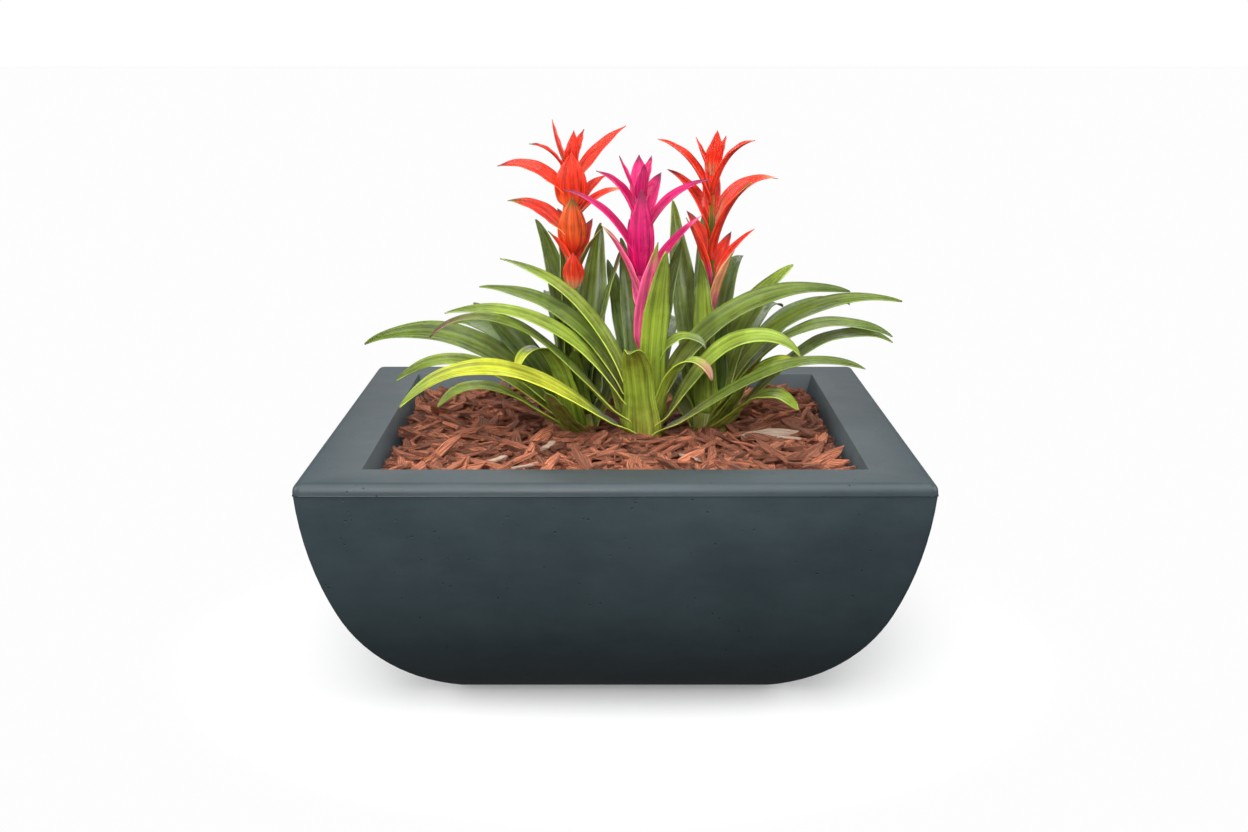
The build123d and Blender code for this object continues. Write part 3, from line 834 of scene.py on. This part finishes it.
# ---------------------------------------------------------------------------------------------
# The front plant, with a magenta flower head. Each row: azimuth, height up the plant, length,
# width, rise at the foot, angle at the tip, how late it bends, roll, and its three tints.
# ---------------------------------------------------------------------------------------------
plant_out("front_plant", {
    "foot": (40, -25),
    "lean": -0.025,
    "stalk_top": 345,
    "stalk_tints": "pale pink pink",
    "flower": "pink_bract",
    "outer_leaves": (
        (209, 2, 378, 28, 39, -48, 2.3, -35, "light lime light"),
        (197, 12, 345, 26, 50, -48, 3.2, -20, "pale mid brown"),
        (336, 4, 320, 26, 37, -19, 2.8, 25, "pale mid mid"),
        (344, 8, 268, 34, 62, -58, 2.7, 30, "pale light light"),
        (318, 18, 168, 28, 74, -84, 3, 10, "pale light blush"),
        (258, 4, 176, 38, 78, -14, 3.2, 0, "pale light light"),
        (191, 22, 325, 30, 70, -12, 1.2, -25, "pale light mid"),
        (2, 28, 350, 32, 80, -12, 1, 35, "pale mid deep"),
        (116, 2, 300, 30, 55, -25, 1.6, 0, "pale deep deep"),
        (78, 8, 300, 30, 55, -25, 1.6, 0, "pale deep deep"),
    ),
    "inner_leaves": (
        (174, 34, 292, 32, 76, 0, 1.1, -25, "pale mid mid"),
        (168, 42, 290, 28, 77, 12, 1.2, -15, "pale light mid"),
        (114, 20, 240, 30, 76, 50, 1.2, 0, "pale deep deep"),
        (297, 33, 238, 33, 86, 70, 1.4, -10, "pale light light"),
        (349, 60, 136, 24, 82, -72, 2.6, 20, "light light grey"),
        (110, 30, 250, 30, 82, 62, 1.3, 0, "mid deep deep"),
        (46, 38, 240, 28, 84, 64, 1.3, 0, "mid deep deep"),
    ),
    "lower_bracts": (
        (272, 228, 118, 34, 70, 92, 0.7, 0, "magenta magenta dusk"),
        (180, 238, 150, 22, 72, 16, 1.2, -20, "magenta magenta dusk"),
        (204, 190, 122, 34, 76, 48, 1.2, -20, "pink pink beige"),
        (304, 120, 158, 38, 80, 78, 1.2, 10, "pink pink light"),
        (18, 202, 134, 20, 66, 34, 1.2, 15, "pink magenta pink"),
        (90, 240, 120, 28, 72, 35, 1.2, 0, "magenta magenta dusk"),
        (102, 212, 110, 24, 62, 35, 1.2, 0, "magenta magenta dusk"),
        (88, 178, 110, 26, 66, 40, 1.2, 0, "pink magenta beige"),
    ),
    "upper_bracts": (
        (186, 334, 58, 20, 62, 72, 1, 0, "pink magenta dusk"),
        (292, 330, 50, 18, 64, 84, 1, 0, "magenta magenta dusk"),
        (40, 336, 54, 20, 62, 78, 1, 0, "pink magenta dusk"),
        (186, 288, 100, 28, 78, 22, 1.5, -20, "magenta magenta dusk"),
        (354, 268, 130, 28, 70, 12, 1.3, 20, "magenta magenta dusk"),
        (66, 284, 105, 24, 66, 25, 1.2, 10, "magenta magenta dusk"),
        (90, 312, 90, 24, 66, 40, 1.2, 0, "magenta magenta dusk"),
    ),
})

# ---------------------------------------------------------------------------------------------
# The left plant, with an orange-red flower head in three open tiers and darker, broader leaves.
# ---------------------------------------------------------------------------------------------
plant_out("left_plant", {
    "foot": (-50, 15),
    "lean": -0.035,
    "stalk_top": 385,
    "stalk_tints": "pale mid red",
    "flower": "red_bract",
    "outer_leaves": (
        (178, 20, 322, 38, 52, -27, 1.5, -34, "light mid mid"),
        (202, 10, 278, 26, 46, -42, 2.2, -30, "pale light mid"),
        (219, 4, 238, 26, 37, -46, 3, -20, "pale light light"),
        (254, 3, 150, 28, 32, 35, 0.6, -10, "pale mid mid"),
        (230, 16, 190, 34, 80, -80, 2.6, 0, "light light lime"),
        (168, 24, 205, 34, 74, 36, 0.6, -45, "deep deep mid"),
        (142, 6, 280, 32, 58, -20, 1.6, -20, "pale deep deep"),
        (102, 8, 320, 32, 62, -20, 1.6, 0, "pale deep deep"),
        (60, 4, 270, 32, 55, -25, 1.6, 0, "pale deep deep"),
    ),
    "inner_leaves": (
        (62, 30, 262, 40, 80, 80, 1.5, 0, "mid mid mid"),
        (12, 44, 226, 26, 84, 72, 0.8, 0, "deep mid brown"),
        (126, 30, 280, 30, 87, 45, 1.8, -15, "deep deep mid"),
        (262, 30, 95, 30, 84, 70, 1.3, 0, "mid deep mid"),
        (98, 18, 270, 32, 74, 35, 1.3, 0, "deep deep deep"),
        (152, 50, 222, 24, 88, 84, 1.3, 0, "deep mid mid"),
    ),
    "lower_bracts": (
        (176, 268, 104, 30, 60, 2, 1.2, -30, "salmon red olive"),
        (352, 292, 86, 24, 60, 8, 1.2, 20, "salmon red salmon"),
        (36, 302, 80, 22, 62, 22, 1.2, 10, "red red red"),
        (272, 252, 80, 38, 64, 90, 0.7, 0, "red orange olive"),
        (215, 232, 64, 22, 66, 45, 1.2, -10, "blush red olive"),
        (340, 216, 80, 20, 72, 52, 1.2, 10, "maroon olive olive"),
        (270, 204, 54, 28, 62, 84, 1, 0, "salmon red red"),
        (90, 262, 100, 26, 70, 25, 1.2, 0, "red red red"),
        (112, 244, 84, 24, 64, 35, 1.2, 0, "red red maroon"),
        (64, 224, 90, 24, 66, 35, 1.2, 0, "red red maroon"),
    ),
    "upper_bracts": (
        (186, 370, 66, 24, 62, 86, 1, 0, "salmon red red"),
        (292, 360, 62, 20, 64, 88, 1, 0, "salmon red red"),
        (42, 368, 56, 20, 62, 70, 1, 0, "red red maroon"),
        (210, 356, 76, 16, 68, 5, 1.2, -20, "red red maroon"),
        (276, 312, 80, 42, 62, 92, 0.7, 0, "orange red red"),
        (178, 322, 114, 28, 62, -15, 1.2, -30, "orange red maroon"),
        (14, 338, 114, 28, 60, 36, 1.2, 20, "salmon red red"),
        (92, 316, 110, 26, 72, 20, 1.2, 0, "red red red"),
    ),
})

# ---------------------------------------------------------------------------------------------
# The right plant, with an orange-red flower head and long leaves that reach over the rim.
# ---------------------------------------------------------------------------------------------
plant_out("right_plant", {
    "foot": (132, 25),
    "lean": 0.0,
    "stalk_top": 375,
    "stalk_tints": "pale mid red",
    "flower": "red_bract",
    "outer_leaves": (
        (353, 24, 326, 28, 84, -10, 0.9, 30, "pale mid mid"),
        (336, 16, 308, 38, 71, -24, 1.3, 15, "pale mid deep"),
        (338, 6, 290, 30, 50, -28, 2.9, 25, "pale mid mid"),
        (316, 10, 180, 32, 62, -12, 2.2, 25, "pale light lime"),
        (306, 2, 185, 30, 44, -40, 2.5, 20, "pale light light"),
        (38, 10, 318, 34, 62, -22, 1.6, 10, "pale deep deep"),
        (64, 2, 320, 34, 58, -22, 1.6, 0, "pale deep deep"),
        (95, 12, 310, 32, 62, -22, 1.6, 0, "pale deep deep"),
        (132, 2, 250, 30, 50, -25, 1.6, 0, "pale deep deep"),
    ),
    "inner_leaves": (
        (22, 36, 230, 38, 82, 30, 1.4, 20, "pale mid light"),
        (64, 46, 238, 30, 86, -5, 2.6, 10, "deep deep deep"),
        (131, 24, 300, 42, 76, 84, 1.8, 0, "mid mid light"),
        (94, 30, 280, 33, 84, 66, 1.1, 0, "mid deep mid"),
        (232, 30, 215, 32, 90, 86, 1.8, 0, "light light mid"),
    ),
    "lower_bracts": (
        (176, 272, 112, 34, 80, 34, 1.2, -20, "red red maroon"),
        (38, 284, 145, 24, 68, -12, 1, 20, "salmon red salmon"),
        (325, 242, 126, 34, 80, 38, 1.3, 20, "red red olive"),
        (206, 208, 100, 28, 76, 62, 1.2, -10, "pink red olive"),
        (0, 206, 96, 22, 70, 38, 1.2, 15, "salmon red red"),
        (320, 172, 92, 28, 74, 62, 1.2, 10, "pink salmon beige"),
        (88, 302, 100, 24, 60, 25, 1.2, 0, "red red red"),
        (120, 230, 95, 24, 66, 35, 1.2, 0, "red red maroon"),
        (60, 200, 95, 24, 68, 35, 1.2, 0, "red red maroon"),
    ),
    "upper_bracts": (
        (285, 358, 64, 22, 62, 88, 1, 0, "salmon red red"),
        (35, 362, 52, 18, 62, 74, 1, 0, "red red red"),
        (165, 362, 50, 18, 62, 74, 1, 0, "red red red"),
        (185, 318, 118, 28, 76, 20, 1.3, -20, "red red red"),
        (335, 332, 98, 32, 76, 14, 1.6, 15, "red red red"),
        (84, 344, 88, 22, 60, 20, 1.2, 0, "red red red"),
    ),
})

# ---------------------------------------------------------------------------------------------
# The room: a plain white floor that fades into a white surround, one broad soft light overhead
# and in front, two weaker ones at the sides and behind, and the camera.
# ---------------------------------------------------------------------------------------------
FLOOR_HALF = 60.0
floor_bm = bmesh.new()
bmesh.ops.create_grid(floor_bm, x_segments=1, y_segments=1, size=FLOOR_HALF)
floor_mesh = bpy.data.meshes.new("floor")
floor_bm.to_mesh(floor_mesh)
floor_bm.free()
floor_finish = Finish("white_floor", Roughness=0.9, Specular_IOR_Level=0.0)
spot = floor_finish.place()
distance = spot.node("ShaderNodeVectorMath", {0: spot}, output=1, operation="LENGTH")
haze = distance.ramp(0.22, 0.66)
floor_finish.paint(
    Base_Color=haze.tint((0.70, 0.70, 0.70, 1), (0.0, 0.0, 0.0, 1)),
    Emission_Color=haze.tint((0.18, 0.18, 0.18, 1), (0.985, 0.985, 0.985, 1)),
)
floor_finish.shader.inputs["Emission Strength"].default_value = 1.0
floor_mesh.materials.append(floor_finish.material)
floor_piece = bpy.data.objects.new("floor", floor_mesh)
bpy.context.scene.collection.objects.link(floor_piece)
floor_piece.visible_diffuse = False
floor_piece.visible_glossy = False

world = bpy.data.worlds.new("soft_surround")
bpy.context.scene.world = world
world.use_nodes = True
sky = Flow(world.node_tree, None)
ahead = sky.node("ShaderNodeTexCoord", {}, "Generated")
height = sky.node("ShaderNodeSeparateXYZ", {"Vector": ahead}, output=2)
glow = height.ramp(-0.25, 0.35).tint((0.08, 0.08, 0.08, 1), (0.24, 0.25, 0.25, 1))
band = height.ramp(-0.03, -0.01) * (1 - height.ramp(0.06, 0.10))
background = world.node_tree.nodes["Background"]
world.node_tree.links.new(band.tint(glow, (1.0, 1.0, 1.0, 1)).socket, background.inputs["Color"])
background.inputs["Strength"].default_value = 1.0

AIM = Vector((0, 0, 0.3))
for name, place, size, power in (
    ("overhead", (0.0, -1.3, 2.9), 3.6, 125),
    ("front_fill", (-0.7, -3.4, 1.7), 1.8, 90),
    ("left_fill", (-2.6, -0.8, 1.3), 1.4, 40),
    ("right_fill", (2.6, -0.6, 1.3), 1.4, 36),
    ("back_fill", (0.0, 2.8, 2.2), 1.8, 18),
):
    lamp = bpy.data.lights.new(name, "AREA")
    lamp.size = size
    lamp.energy = power
    lamp_object = bpy.data.objects.new(name, lamp)
    lamp_object.location = place
    lamp_object.rotation_euler = (AIM - Vector(place)).to_track_quat("-Z", "Y").to_euler()
    bpy.context.scene.collection.objects.link(lamp_object)

CAMERA_DIP = 12.215
lens = bpy.data.cameras.new("camera")
lens.sensor_width = 36.0
lens.lens = 49.45
lens.shift_x = 0.007
lens.clip_end = 200
camera = bpy.data.objects.new("camera", lens)
camera.location = (0.0, -2.3276, 0.8234)
camera.rotation_euler = (radians(90 - CAMERA_DIP), 0, 0)
bpy.context.scene.collection.objects.link(camera)
bpy.context.scene.camera = camera
bpy.context.scene.view_settings.view_transform = "Standard"
